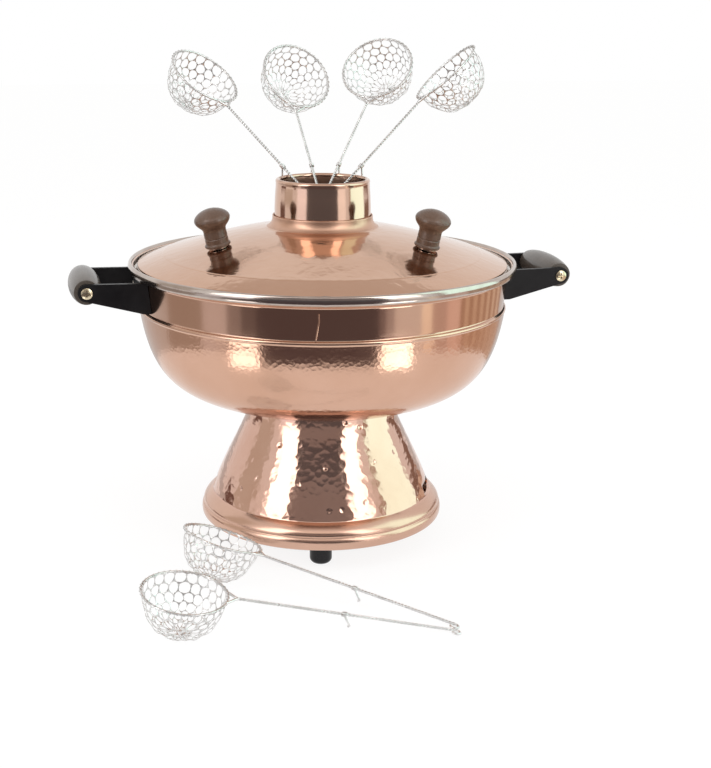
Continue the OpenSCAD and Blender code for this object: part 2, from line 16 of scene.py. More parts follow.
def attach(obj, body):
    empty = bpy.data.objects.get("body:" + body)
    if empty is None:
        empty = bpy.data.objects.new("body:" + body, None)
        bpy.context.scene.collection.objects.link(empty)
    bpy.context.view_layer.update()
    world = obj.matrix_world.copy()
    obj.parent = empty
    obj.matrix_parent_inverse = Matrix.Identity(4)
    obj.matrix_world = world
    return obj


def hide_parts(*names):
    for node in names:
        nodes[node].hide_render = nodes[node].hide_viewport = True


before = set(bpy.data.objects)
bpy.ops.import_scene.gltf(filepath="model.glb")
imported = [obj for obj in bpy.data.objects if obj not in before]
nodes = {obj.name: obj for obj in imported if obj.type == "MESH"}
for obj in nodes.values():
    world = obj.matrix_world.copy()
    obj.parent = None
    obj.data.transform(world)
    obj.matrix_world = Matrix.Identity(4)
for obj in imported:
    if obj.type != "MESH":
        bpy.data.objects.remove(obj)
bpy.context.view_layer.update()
mm = 0.001

# %% [markdown]
# The camera stands where the photograph was taken from. Its place was fitted to the circles of the
# rim, the lid and the pedestal: about a metre away, 386 mm above the table, a little to the left of
# the pot's front. The small roll and shift put the pot where it is in the picture.

# %% Camera
camera_turn = -12.5
camera_distance = 990.9 * mm
camera_height = 385.7 * mm
camera_pitch = 15.35
camera_roll = 0.3
side = math.radians(camera_turn)
camera = bpy.data.objects.new("camera", bpy.data.cameras.new("camera"))
bpy.context.scene.collection.objects.link(camera)
camera.location = (
    camera_distance * math.sin(side), -camera_distance * math.cos(side), camera_height
)
camera.rotation_euler = (
    Matrix.Rotation(side, 3, "Z")
    @ Matrix.Rotation(math.radians(90 - camera_pitch), 3, "X")
    @ Matrix.Rotation(math.radians(camera_roll), 3, "Z")
).to_euler()
camera.data.lens = 65.05
camera.data.shift_x = 0.044
bpy.context.scene.camera = camera
bpy.context.scene.view_settings.view_transform = "Standard"
print("camera at", [round(v, 3) for v in camera.location])

# %% [markdown]
# Polished copper shows the room more than itself, so the room is part of the look. The background
# and the table are white to the camera and in reflections, and a plainer white gives the light. The
# floor mixes its glow with its own shading, so that it still keeps the object's shadow.

# %% World and floor
def seen_directly(tree):
    """1 for a ray from the camera, a mirror or a glass, and 0 for any other ray."""
    paths = tree.nodes.new("ShaderNodeLightPath")
    total = paths.outputs["Is Camera Ray"]
    for kind in ("Is Glossy Ray", "Is Transmission Ray"):
        either = tree.nodes.new("ShaderNodeMath")
        either.operation = "MAXIMUM"
        tree.links.new(total, either.inputs[0])
        tree.links.new(paths.outputs[kind], either.inputs[1])
        total = either.outputs[0]
    return total


world = bpy.data.worlds.new("studio")
bpy.context.scene.world = world
world.use_nodes = True
world_tree = world.node_tree
world_tree.nodes.clear()
world_output = world_tree.nodes.new("ShaderNodeOutputWorld")
world_mix = world_tree.nodes.new("ShaderNodeMixShader")
studio_light = world_tree.nodes.new("ShaderNodeBackground")
studio_light.inputs["Color"].default_value = (1.0, 0.985, 0.97, 1)
studio_light.inputs["Strength"].default_value = 0.72
white_room = world_tree.nodes.new("ShaderNodeBackground")
white_room.inputs["Color"].default_value = (1, 1, 1, 1)
world_tree.links.new(seen_directly(world_tree), world_mix.inputs[0])
world_tree.links.new(studio_light.outputs[0], world_mix.inputs[1])
world_tree.links.new(white_room.outputs[0], world_mix.inputs[2])
world_tree.links.new(world_mix.outputs[0], world_output.inputs[0])

bpy.ops.object.select_all(action="DESELECT")
bpy.ops.mesh.primitive_plane_add(size=12, location=(0, 0, 0))
floor = bpy.context.object
floor.name = "floor"
floor_paint = bpy.data.materials.new("white_floor")
floor_paint.use_nodes = True
floor_tree = floor_paint.node_tree
table = floor_tree.nodes["Principled BSDF"]
table.inputs["Base Color"].default_value = (0.93, 0.93, 0.93, 1)
table.inputs["Roughness"].default_value = 0.9
table_glow = floor_tree.nodes.new("ShaderNodeEmission")
table_glow.inputs["Strength"].default_value = 1.06
glow_share = floor_tree.nodes.new("ShaderNodeMath")
glow_share.operation = "MULTIPLY"
glow_share.inputs[1].default_value = 0.82
floor_mix = floor_tree.nodes.new("ShaderNodeMixShader")
floor_tree.links.new(seen_directly(floor_tree), glow_share.inputs[0])
floor_tree.links.new(glow_share.outputs[0], floor_mix.inputs[0])
floor_tree.links.new(table.outputs[0], floor_mix.inputs[1])
floor_tree.links.new(table_glow.outputs[0], floor_mix.inputs[2])
floor_tree.links.new(floor_mix.outputs[0], floor_tree.nodes["Material Output"].inputs["Surface"])
floor.data.materials.append(floor_paint)
print("floor is", floor.dimensions.x, "m wide")

# %% [markdown]
# Two lamps at the front and one above model the matt parts. A picture of a room could give the
# copper something to mirror, but sheets that only reflections see can be set one by one, and they
# light nothing. This cell makes the lamps, and the helpers that place a sheet.

# %% Lamps and a helper for sheets
lamp_aim = Vector((0, 0, 0.15))


def toward(azimuth, distance, height):
    """A point round the pot: azimuth is counted from the camera, to the camera's right."""
    turn = math.radians(camera_turn + azimuth)
    return Vector((distance * math.sin(turn), -distance * math.cos(turn), height))


def lamp(name, azimuth, distance, height, size, power):
    light = bpy.data.lights.new(name, "AREA")
    light.shape = "RECTANGLE"
    light.size, light.size_y = size
    light.energy = power
    stand = bpy.data.objects.new(name, light)
    bpy.context.scene.collection.objects.link(stand)
    stand.location = toward(azimuth, distance, height)
    stand.rotation_euler = (lamp_aim - stand.location).to_track_quat("-Z", "Y").to_euler()
    stand.visible_glossy = False


lamp("lamp_left", -50, 1.3, 0.7, (0.4, 1.1), 3.4)
lamp("lamp_right", 45, 1.3, 0.7, (0.4, 1.1), 3.4)
lamp("lamp_above", 10, 0.5, 1.7, (1.2, 1.2), 5.0)
print("lamps:", len(bpy.data.lights))

sheets = []


def sheet(name, glow, corners):
    """A sheet that only reflections see. Its corners, two low and two high, are as for toward()."""
    bpy.ops.object.select_all(action="DESELECT")
    bpy.ops.mesh.primitive_plane_add(size=1)
    piece = bpy.context.object
    piece.name = name
    for vertex, corner in zip(piece.data.vertices, corners):
        vertex.co = toward(*corner)
    paint = bpy.data.materials.new(name)
    paint.use_nodes = True
    paint.node_tree.nodes.clear()
    light = paint.node_tree.nodes.new("ShaderNodeEmission")
    light.inputs["Color"].default_value = (*glow, 1)
    target = paint.node_tree.nodes.new("ShaderNodeOutputMaterial")
    paint.node_tree.links.new(light.outputs[0], target.inputs["Surface"])
    piece.data.materials.append(paint)
    piece.visible_camera = False
    piece.visible_diffuse = False
    piece.visible_shadow = False
    piece.visible_transmission = False
    sheets.append(piece)


def upright(name, glow, low, high, distance, low_z, high_z):
    """A standing sheet. Low and high are the azimuths of its sides at its foot and at its top."""
    sheet(name, glow, [
        (low[0], distance, low_z), (low[1], distance, low_z),
        (high[0], distance, high_z), (high[1], distance, high_z),
    ])


floor_edge = 1.25
widest_fan_step = 12


def on_floor(name, glow, first, last, near, far=floor_edge, height=0.002):
    """A fan of sheets that lie on the floor between two azimuths and two distances."""
    steps = max(1, math.ceil((last - first) / widest_fan_step))
    for i in range(steps):
        left = first + (last - first) * i / steps
        right = first + (last - first) * (i + 1) / steps
        sheet(f"{name}_{i}", glow, [
            (left, near, height), (right, near, height), (left, far, height), (right, far, height),
        ])


# %% [markdown]
# The standing sheets are two tall soft boxes, the dark side of the room between them where the
# camera stands, a cool window to the right, a wall to the left and four low posts. The ceiling
# shows in the brim of the lid, and the dark hood under it in the dome.

# %% Standing sheets and the ceiling
room_distance = 1.45
box_distance = 1.3
dark_room = (0.14, 0.135, 0.145)
dim_room = (0.34, 0.31, 0.31)
upright("room_low", dark_room, (-42, 40), (-42, 40), room_distance, 0.0, 0.3)
upright("room_middle", dim_room, (-42, 40), (-34, 30), room_distance, 0.3, 0.8)
upright("room_high", dark_room, (-34, 30), (-32, 29), room_distance, 0.8, 1.1)
upright("room_top", (1.2, 1.15, 1.1), (-32, 29), (-30, 27), room_distance, 1.1, 1.9)
upright("box_left_foot", (1.35, 1.35, 1.45), (-63, -39), (-62, -37), box_distance, 0.01, 0.3)
upright("box_left", (3.4, 3.4, 3.4), (-62, -37), (-55, -28), box_distance, 0.3, 1.6)
upright("box_right_foot", (1.4, 1.4, 1.4), (37, 56), (35, 55), box_distance, 0.01, 0.3)
upright("box_right", (3.4, 3.4, 3.4), (35, 55), (25, 48), box_distance, 0.3, 1.6)
upright("window_right", (1.6, 2.2, 2.05), (71, 116), (54, 92), 1.35, 0.01, 1.5)
upright("wall_left", (0.72, 0.68, 0.62), (-103, -76), (-103, -76), 1.32, 0.14, 1.3)
upright("post_left", (0.2, 0.12, 0.1), (-119, -100), (-119, -100), box_distance, 0.01, 0.14)
upright("post_front_left", (0.35, 0.25, 0.25), (-73, -67), (-73, -67), box_distance, 0.01, 0.14)
upright("post_front_right", (0.5, 0.35, 0.28), (66, 70), (64, 67), 1.32, 0.01, 0.9)
upright("post_right", (0.3, 0.2, 0.16), (117, 141), (117, 141), box_distance, 0.01, 0.14)
ceiling_z = 2.2
hood_z = 2.1
sheet("ceiling", (0.74, 0.69, 0.66), [
    (-40, 1.5, ceiling_z), (40, 1.5, ceiling_z), (-148, 2.28, ceiling_z), (148, 2.28, ceiling_z),
])
sheet("hood", (0.4, 0.3, 0.25), [
    (-40, 1.1, hood_z), (40, 1.1, hood_z), (-75, 0.6, hood_z), (75, 0.6, hood_z),
])
print("standing and hanging sheets:", len(sheets))

# %% [markdown]
# The bowl, the band and the pedestal mirror the floor. White near the pot, it is dim from a certain
# distance on, with a gleam here and there. That edge gives the bowl its dark upper part, and the
# stripes to the right give the band its narrow streaks. Two bright patches on the table make the
# gleams on the bowl's shoulder.

# %% Sheets on the floor
beyond = 0.385
dusk_start = 0.33
front_start = 0.32
patch_start = 0.3
over_floor = 0.004
stripe_count = 13
stripe_width = 4
stripes_start = 86
on_floor("floor_back", (0.68, 0.68, 0.68), 138, 258, beyond)
on_floor("floor_left", (0.48, 0.42, 0.38), -102, -71, beyond)
on_floor("floor_gleam_left", (0.75, 0.72, 0.74), -71, -54, beyond)
on_floor("floor_brown_left", (0.36, 0.32, 0.32), -54, -45, beyond)
on_floor("floor_dusk_left", (0.19, 0.16, 0.16), -45, -36, dusk_start)
on_floor("floor_front", (0.12, 0.095, 0.1), -36, 31, front_start)
on_floor("floor_dusk_right", (0.25, 0.2, 0.2), 31, 35, dusk_start)
on_floor("floor_brown", (0.5, 0.44, 0.44), 35, 40, 0.42)
on_floor("floor_warm", (0.85, 0.8, 0.78), 40, 57, beyond)
on_floor("floor_gleam_right", (1.2, 1.1, 0.95), 57, 64, beyond)
on_floor("floor_copper", (0.7, 0.55, 0.5), 64, 75, beyond)
on_floor("floor_far_right", (0.95, 0.75, 0.68), 75, 86, beyond)
for stripe in range(stripe_count):
    glow = (0.82, 0.66, 0.52) if stripe % 2 else (0.5, 0.33, 0.24)
    first = stripes_start + stripe_width * stripe
    on_floor(f"floor_stripe_{stripe}", glow, first, first + stripe_width, beyond)
on_floor("table_gleam_left", (3.0, 3.0, 3.0), -51, -34, patch_start, 0.4, over_floor)
on_floor("table_gleam_right", (3.6, 3.7, 3.7), 32, 50, patch_start, 0.415, over_floor)
print("sheets in all:", len(sheets))

# %% [markdown]
# Most pieces start in the same way: deselect everything, add a primitive, shape it in edit mode,
# and finish it with modifiers. These helpers keep that short.

# %% Modelling helpers
def deselect_all():
    if bpy.context.mode != "OBJECT":
        bpy.ops.object.mode_set(mode="OBJECT")
    bpy.ops.object.select_all(action="DESELECT")


def pick(piece):
    deselect_all()
    piece.select_set(True)
    bpy.context.view_layer.objects.active = piece


def copy_of(piece):
    pick(piece)
    bpy.ops.object.duplicate()
    return bpy.context.object


def settle(piece):
    """Puts the object at the origin, with its place in its mesh."""
    pick(piece)
    bpy.ops.object.transform_apply(location=True, rotation=True, scale=True)


def finish_with(piece, kind, **settings):
    """Adds a modifier with these settings and applies it."""
    pick(piece)
    modifier = piece.modifiers.new(kind.lower(), kind)
    for name, value in settings.items():
        setattr(modifier, name, value)
    bpy.ops.object.modifier_apply(modifier=modifier.name)


def edit(piece):
    pick(piece)
    bpy.ops.object.mode_set(mode="EDIT")


def smooth_outwards():
    """In edit mode, turns all faces outwards. Leaves it with the piece shaded smooth."""
    bpy.ops.mesh.select_all(action="SELECT")
    bpy.ops.mesh.normals_make_consistent(inside=False)
    bpy.ops.object.mode_set(mode="OBJECT")
    bpy.ops.object.shade_smooth()


def select_where(piece, kind, test):
    """In edit mode, selects the vertices, edges or faces that pass the test."""
    bpy.ops.mesh.select_mode(type=kind)
    bpy.ops.mesh.select_all(action="DESELECT")
    bpy.ops.object.mode_set(mode="OBJECT")
    mesh = piece.data
    parts = {"VERT": mesh.vertices, "EDGE": mesh.edges, "FACE": mesh.polygons}[kind]
    for part in parts:
        part.select = test(part)
    bpy.ops.object.mode_set(mode="EDIT")


def dress(piece, name, body, slot, *materials):
    """Names a finished piece, gives it its materials, lets it ride on a body, and says so.

    Slots that it has already are filled, not cleared. Clearing them makes its faces forget theirs.
    """
    settle(piece)
    piece.name = name
    piece.data.name = name
    while len(piece.data.materials) < len(materials):
        piece.data.materials.append(None)
    for place, material in enumerate(materials):
        piece.data.materials[place] = material
    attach(piece, body)
    print(name, "on", body, "with", len(piece.data.polygons), "faces")


def refinish(piece, material_number, test):
    """Gives another of the piece's materials to those outer faces whose centre passes the test."""
    for face in piece.data.polygons:
        if face.material_index == 0 and test(face.center):
            face.material_index = material_number


# %% [markdown]
# An outline is a list of (radius, height) points. Curves between them are cubic, as in the part's
# source, and a corner that would be too sharp for sheet metal is cut back and rounded.

# %% Outline helpers
def curve(a, b, c, d, steps):
    """Points on the cubic curve from a to d that starts towards b and arrives from c."""
    a, b, c, d = map(Vector, (a, b, c, d))
    points = []
    for i in range(steps + 1):
        t = i / steps
        s = 1 - t
        points.append(tuple(s**3 * a + 3 * s * s * t * b + 3 * s * t * t * c + t**3 * d))
    return points


def arc(middle, radius, start, end, steps):
    """Points on a circle, from one angle in degrees to another."""
    points = []
    for i in range(steps + 1):
        angle = math.radians(start + (end - start) * i / steps)
        points.append((middle[0] + radius * math.cos(angle), middle[1] + radius * math.sin(angle)))
    return points


sharp_corner = 14
corner_share = 0.45
corner_pull = 0.6
corner_steps = 5


def rounded(points, radius):
    """The same outline, with each corner made round that turns by more than sharp_corner."""
    result = [points[0]]
    for before, here, after in zip(points, points[1:], points[2:]):
        before, here, after = Vector(before), Vector(here), Vector(after)
        into, out = here - before, after - here
        if math.degrees(into.angle(out)) < sharp_corner:
            result.append(tuple(here))
            continue
        start = here - into.normalized() * min(radius, into.length * corner_share)
        end = here + out.normalized() * min(radius, out.length * corner_share)
        pulls = start.lerp(here, corner_pull), end.lerp(here, corner_pull)
        result += curve(start, *pulls, end, corner_steps)
    return result + [points[-1]]


ring_points = 240


def turned(outline):
    """Turns an outline, in millimetres, by pulling a ring up from point to point."""
    radius, height = outline[0]
    deselect_all()
    bpy.ops.mesh.primitive_circle_add(
        vertices=ring_points, radius=radius * mm, location=(0, 0, height * mm)
    )
    piece = bpy.context.object
    bpy.ops.object.mode_set(mode="EDIT")
    for next_radius, next_height in outline[1:]:
        bpy.ops.mesh.extrude_region_move(
            TRANSFORM_OT_translate={"value": (0, 0, (next_height - height) * mm)}
        )
        change = next_radius / radius
        bpy.ops.transform.resize(
            value=(change, change, 1), center_override=(0, 0, next_height * mm)
        )
        radius, height = next_radius, next_height
    smooth_outwards()
    settle(piece)
    return piece


def sheet_metal(piece, thickness, inner_material):
    """Gives a turned face its thickness, inwards, and a material slot of its own inside.

    The modifier leaves all faces in the first slot unless the piece has its slots beforehand.
    """
    while len(piece.data.materials) <= inner_material:
        piece.data.materials.append(None)
    finish_with(
        piece, "SOLIDIFY", thickness=thickness * mm, offset=-1,
        material_offset=inner_material, use_even_offset=True
    )


# %% [markdown]
# Three effects are used by more than one finish, so each is a node group, built once and given its
# own values in each material: hammer marks, lathe lines and the marks of handling. These helpers
# add nodes.

# %% Helpers for shader groups
def new_group(name, inputs, output):
    """A group with these inputs, numbers all, and one output. Also its input and output nodes."""
    group = bpy.data.node_groups.new(name, "ShaderNodeTree")
    for label, value in inputs.items():
        socket = group.interface.new_socket(label, in_out="INPUT", socket_type="NodeSocketFloat")
        socket.default_value = value
    group.interface.new_socket(output, in_out="OUTPUT", socket_type="NodeSocketFloat")
    return group, group.nodes.new("NodeGroupInput"), group.nodes.new("NodeGroupOutput")


def node(tree, kind, operation=None, **values):
    """A node with these values in its sockets. In their names an underscore is a space."""
    made = tree.nodes.new(kind)
    if operation:
        made.operation = operation
    for name, value in values.items():
        made.inputs[name.replace("_", " ")].default_value = value
    return made


def maths(tree, operation, first, second, third=None):
    """A Math node. Each of its terms is a socket or a number."""
    made = node(tree, "ShaderNodeMath", operation)
    for slot_number, term in enumerate((first, second, third)):
        if term is None:
            continue
        if isinstance(term, (int, float)):
            made.inputs[slot_number].default_value = term
        else:
            tree.links.new(term, made.inputs[slot_number])
    return made.outputs[0]


def object_point(tree, scale=None):
    """The object's own coordinates, stretched by scale if it is given."""
    point = tree.nodes.new("ShaderNodeTexCoord").outputs["Object"]
    if scale is None:
        return point
    mapping = tree.nodes.new("ShaderNodeMapping")
    mapping.inputs["Scale"].default_value = scale
    tree.links.new(point, mapping.inputs["Vector"])
    return mapping.outputs["Vector"]


def noise(tree, scale=None, output="Fac", **values):
    """Noise by the object's own coordinates, stretched by scale if it is given."""
    made = node(tree, "ShaderNodeTexNoise", **values)
    tree.links.new(object_point(tree, scale), made.inputs["Vector"])
    return made.outputs[output]


# %% [markdown]
# Hammer marks are dimples with soft ridges between them. A Voronoi pattern has a middle in each
# cell, and a power of the distance from it is a small bowl. Noise shifts the pattern first, so that
# no two marks are alike. A second, sparser pattern keeps one cell in five and strikes a deeper dent
# there, as the hammer's edge does. The result is a height for a bump.

# %% Hammer marks
marks_shift = 0.004
dimple_power = 1.7
dent_reach = 0.3
dented_share = 0.2
hammer_marks, given, result = new_group(
    "hammer_marks",
    {"Cells per metre": 230.0, "Dents per metre": 110.0, "Dent share": 1.0},
    "Height",
)
link = hammer_marks.links.new
wobble = noise(hammer_marks, output="Color", Scale=90.0, Detail=2.0)
shift = node(hammer_marks, "ShaderNodeVectorMath", "MULTIPLY_ADD")
shift.inputs[1].default_value = (marks_shift, marks_shift, marks_shift)
link(wobble, shift.inputs[0])
link(object_point(hammer_marks), shift.inputs[2])
cells = node(hammer_marks, "ShaderNodeTexVoronoi")
cells.feature = "SMOOTH_F1"
cells.inputs["Smoothness"].default_value = 0.35
link(shift.outputs[0], cells.inputs["Vector"])
link(given.outputs["Cells per metre"], cells.inputs["Scale"])
dimple = maths(hammer_marks, "POWER", cells.outputs["Distance"], dimple_power)
dents = node(hammer_marks, "ShaderNodeTexVoronoi")
link(shift.outputs[0], dents.inputs["Vector"])
link(given.outputs["Dents per metre"], dents.inputs["Scale"])
chance = node(hammer_marks, "ShaderNodeSeparateColor")
link(dents.outputs["Color"], chance.inputs[0])
hollow = node(hammer_marks, "ShaderNodeMapRange", From_Max=dent_reach, To_Min=1.0, To_Max=0.0)
hollow.interpolation_type = "SMOOTHSTEP"
link(dents.outputs["Distance"], hollow.inputs["Value"])
struck = maths(hammer_marks, "GREATER_THAN", chance.outputs[0], 1 - dented_share)
hit = maths(hammer_marks, "MULTIPLY", struck, hollow.outputs[0])
dent = maths(hammer_marks, "MULTIPLY", hit, given.outputs["Dent share"])
link(maths(hammer_marks, "SUBTRACT", dimple, dent), result.inputs["Height"])
print("hammer marks:", len(hammer_marks.nodes), "nodes")

# %% [markdown]
# A lathe leaves fine rings round the axis. Noise that is stretched sideways and tight along the
# axis gives them, a little uneven, as a height. Handling leaves slow clouds of tarnish and wiping
# marks, from 0 to 1.

# %% Lathe lines and handling
sideways_scale = 6.0
lathe_lines, given, result = new_group("lathe_lines", {"Lines per metre": 2500.0}, "Height")
link = lathe_lines.links.new
rings = node(lathe_lines, "ShaderNodeTexNoise", Scale=1.0, Detail=3.0)
apart = node(lathe_lines, "ShaderNodeSeparateXYZ")
link(object_point(lathe_lines), apart.inputs[0])
ring_point = node(lathe_lines, "ShaderNodeCombineXYZ")
for axis, tightness in (("X", sideways_scale), ("Y", sideways_scale), ("Z", given.outputs[0])):
    link(maths(lathe_lines, "MULTIPLY", apart.outputs[axis], tightness), ring_point.inputs[axis])
link(ring_point.outputs[0], rings.inputs["Vector"])
link(rings.outputs["Fac"], result.inputs["Height"])

handling, given, result = new_group("handling", {"Clouds per metre": 22.0}, "Cloud")
link = handling.links.new
clouds = node(handling, "ShaderNodeTexNoise", Detail=5.0, Roughness=0.6)
link(object_point(handling), clouds.inputs["Vector"])
link(given.outputs["Clouds per metre"], clouds.inputs["Scale"])
spread = node(handling, "ShaderNodeMapRange", From_Min=0.35, From_Max=0.68)
link(clouds.outputs["Fac"], spread.inputs["Value"])
link(spread.outputs["Result"], result.inputs["Cloud"])
print("shader groups:", len(bpy.data.node_groups))

# %% [markdown]
# These helpers put a group into a material, and blend its colours, its gloss and its bump by what
# the group gives. Values that are the same all over a surface go straight into the shader's own
# sockets.

# %% Material helpers
def place_group(material, group, **values):
    made = material.node_tree.nodes.new("ShaderNodeGroup")
    made.node_tree = group
    for name, value in values.items():
        made.inputs[name.replace("_", " ")].default_value = value
    return made


def new_material(name, **sockets):
    """A material with a Principled BSDF whose sockets have these values."""
    material = bpy.data.materials.new(name)
    material.use_nodes = True
    shader = material.node_tree.nodes["Principled BSDF"]
    for label, value in sockets.items():
        shader.inputs[label.replace("_", " ")].default_value = value
    return material, shader


def blend_colours(material, amount, first, second):
    """Goes from the first colour to the second as amount goes from 0 to 1."""
    made = material.node_tree.nodes.new("ShaderNodeMix")
    made.data_type = "RGBA"
    share, colour_a, colour_b = made.inputs[0], made.inputs[6], made.inputs[7]
    colour_a.default_value = (*first, 1)
    colour_b.default_value = (*second, 1)
    material.node_tree.links.new(amount, share)
    return made.outputs[2]


def between(material, amount, low, high):
    """A number from low to high as amount goes from 0 to 1."""
    made = node(material.node_tree, "ShaderNodeMapRange", To_Min=low, To_Max=high)
    material.node_tree.links.new(amount, made.inputs["Value"])
    return made.outputs["Result"]


def clouded(material, shader, clouds_per_metre, light, dark, smoothest, roughest):
    """Lets colour and roughness follow the slow clouds of handling."""
    link = material.node_tree.links.new
    cloud = place_group(material, handling, Clouds_per_metre=clouds_per_metre).outputs["Cloud"]
    link(blend_colours(material, cloud, light, dark), shader.inputs["Base Color"])
    link(between(material, cloud, smoothest, roughest), shader.inputs["Roughness"])


def bump(material, shader, height, depth, strength=1.0, under=None):
    """Feeds a height, whose full range is depth in metres, to the shader's normal.

    Under is the normal of a coarser bump that this one lies on.
    """
    made = node(material.node_tree, "ShaderNodeBump", Distance=depth, Strength=strength)
    material.node_tree.links.new(height, made.inputs["Height"])
    if under is not None:
        material.node_tree.links.new(under, made.inputs["Normal"])
    material.node_tree.links.new(made.outputs["Normal"], shader.inputs["Normal"])
    return made.outputs["Normal"]


# %% [markdown]
# The coppers differ in colour and in finish. The bowl has small soft marks, the pedestal large deep
# ones, and the lid, band and chimney were polished on a lathe. Real copper is never one flat
# colour, so each blends two of them by the slow clouds of handling.

# %% Copper finishes
def hammered_copper(name, light, dark, roughness, cells_per_metre, depth, dent_share):
    """Copper from the hammer. Dent share says how deep the hammer's edge went in."""
    material, shader = new_material(name, Metallic=1.0)
    clouded(material, shader, 18.0, light, dark, roughness * 0.85, roughness * 1.25)
    marks = place_group(
        material, hammer_marks, Cells_per_metre=cells_per_metre, Dent_share=dent_share
    )
    bump(material, shader, marks.outputs["Height"], depth)
    return material


def turned_copper(name, light, dark, roughness, line_depth, wave_depth=0.0):
    """Copper from the lathe. Waves are what the hammer left under the polish."""
    material, shader = new_material(name, Metallic=1.0)
    clouded(material, shader, 14.0, light, dark, roughness * 0.8, roughness * 1.3)
    lines = place_group(material, lathe_lines, Lines_per_metre=2200.0).outputs["Height"]
    waved = None
    if wave_depth:
        waves = noise(material.node_tree, Scale=115.0, Detail=1.5, Distortion=0.4)
        waved = bump(material, shader, waves, wave_depth)
    bump(material, shader, lines, line_depth, under=waved)
    return material


bowl_copper = hammered_copper(
    "bowl_copper", (0.66, 0.41, 0.30), (0.62, 0.37, 0.26), 0.15, 400.0, 0.06 * mm, 0.1
)
pedestal_copper = hammered_copper(
    "pedestal_copper", (0.65, 0.42, 0.33), (0.61, 0.37, 0.28), 0.1, 230.0, 0.14 * mm, 3.0
)
band_copper = turned_copper(
    "band_copper", (0.64, 0.42, 0.31), (0.60, 0.37, 0.27), 0.13, 0.008 * mm
)
lid_copper = turned_copper(
    "lid_copper", (0.63, 0.405, 0.29), (0.58, 0.36, 0.25), 0.1, 0.003 * mm, 0.22 * mm
)
collar_copper = turned_copper(
    "collar_copper", (0.62, 0.39, 0.28), (0.57, 0.34, 0.24), 0.34, 0.006 * mm
)
chimney_copper = turned_copper(
    "chimney_copper", (0.64, 0.43, 0.33), (0.60, 0.39, 0.29), 0.11, 0.003 * mm
)
flange_copper = turned_copper(
    "flange_copper", (0.64, 0.41, 0.31), (0.58, 0.36, 0.27), 0.2, 0.006 * mm
)
plain_copper = turned_copper(
    "plain_copper", (0.62, 0.36, 0.25), (0.48, 0.27, 0.18), 0.35, 0.01 * mm
)
sooty_copper = turned_copper(
    "sooty_copper", (0.55, 0.36, 0.28), (0.34, 0.2, 0.14), 0.3, 0.01 * mm
)
print("coppers:", [m.name for m in bpy.data.materials if m.name.endswith("_copper")])

# %% [markdown]
# The other finishes are plainer: bright tin on the rim bead, duller tin on the wires and inside the
# pot, black enamel on the brackets, black feet, brassy bolts, zinc steel and dull iron. One helper
# makes them all, each with clouds in its colour and a grain as deep as the real one's.

# %% Other finishes
def scuffed(name, light, dark, roughness, metallic, clouds_per_metre, grain_depth, **sockets):
    """A plain finish with clouds in its colour and gloss, and a fine grain."""
    material, shader = new_material(name, Metallic=metallic, **sockets)
    clouded(material, shader, clouds_per_metre, light, dark, roughness * 0.8, roughness * 1.3)
    bump(material, shader, noise(material.node_tree, Scale=1400.0, Detail=2.0), grain_depth)
    return material


tin = scuffed(
    "bright_tin", (0.52, 0.45, 0.40), (0.44, 0.36, 0.32), 0.14, 1.0, 60.0, 0.008 * mm
)
tinned_inside = scuffed(
    "tinned_inside", (0.78, 0.77, 0.74), (0.66, 0.64, 0.61), 0.3, 1.0, 30.0, 0.02 * mm
)
black_enamel = scuffed(
    "black_enamel", (0.005, 0.004, 0.005), (0.009, 0.008, 0.009), 0.42, 0.0, 40.0, 0.03 * mm,
    Specular_IOR_Level=0.25,
)
foot_black = scuffed(
    "foot_black", (0.006, 0.006, 0.007), (0.01, 0.01, 0.012), 0.14, 0.0, 60.0, 0.008 * mm,
    Specular_IOR_Level=0.3,
)
wire_tin = scuffed(
    "wire_tin", (0.8, 0.79, 0.78), (0.58, 0.57, 0.56), 0.3, 1.0, 120.0, 0.01 * mm
)
screw_brass = scuffed(
    "screw_brass", (0.72, 0.62, 0.44), (0.58, 0.48, 0.32), 0.25, 1.0, 200.0, 0.01 * mm
)
steel = scuffed(
    "zinc_steel", (0.62, 0.61, 0.58), (0.5, 0.49, 0.47), 0.3, 1.0, 150.0, 0.01 * mm
)
iron = scuffed(
    "grate_iron", (0.10, 0.095, 0.09), (0.16, 0.11, 0.08), 0.6, 0.7, 90.0, 0.12 * mm
)

# %% [markdown]
# The grips and knobs are turned from wood and varnished. Noise that is stretched along one
# direction looks like grain. The varnish is the shader's coat, smoother than the wood under it.

# %% Wood
across_grain = 900.0
along_grain = 45.0
grain_share = 0.75
cloud_share = 0.3


def varnished_wood(name, light, dark, along, coat):
    """Wood with grain lines that run along X, Y or Z, under a clear varnish."""
    material, shader = new_material(
        name, Coat_Weight=coat, Coat_Roughness=0.1, Roughness=0.45, Specular_IOR_Level=0.35
    )
    tree = material.node_tree
    stretched = [along_grain if axis == along else across_grain for axis in "XYZ"]
    grain = noise(tree, stretched, Scale=1.0, Detail=4.0, Roughness=0.6, Distortion=0.6)
    cloud = place_group(material, handling, Clouds_per_metre=70.0).outputs["Cloud"]
    soiled = maths(tree, "MULTIPLY", cloud, cloud_share)
    worn = maths(tree, "MULTIPLY_ADD", grain, grain_share, soiled)
    tree.links.new(blend_colours(material, worn, dark, light), shader.inputs["Base Color"])
    bump(material, shader, grain, 0.05 * mm, 0.6)
    return material


grip_wood = varnished_wood("grip_wood", (0.13, 0.105, 0.085), (0.045, 0.035, 0.027), "Y", 0.5)
knob_wood = varnished_wood("knob_wood", (0.17, 0.095, 0.06), (0.065, 0.035, 0.022), "Z", 0.4)
print("woods:", grip_wood.name, knob_wood.name)

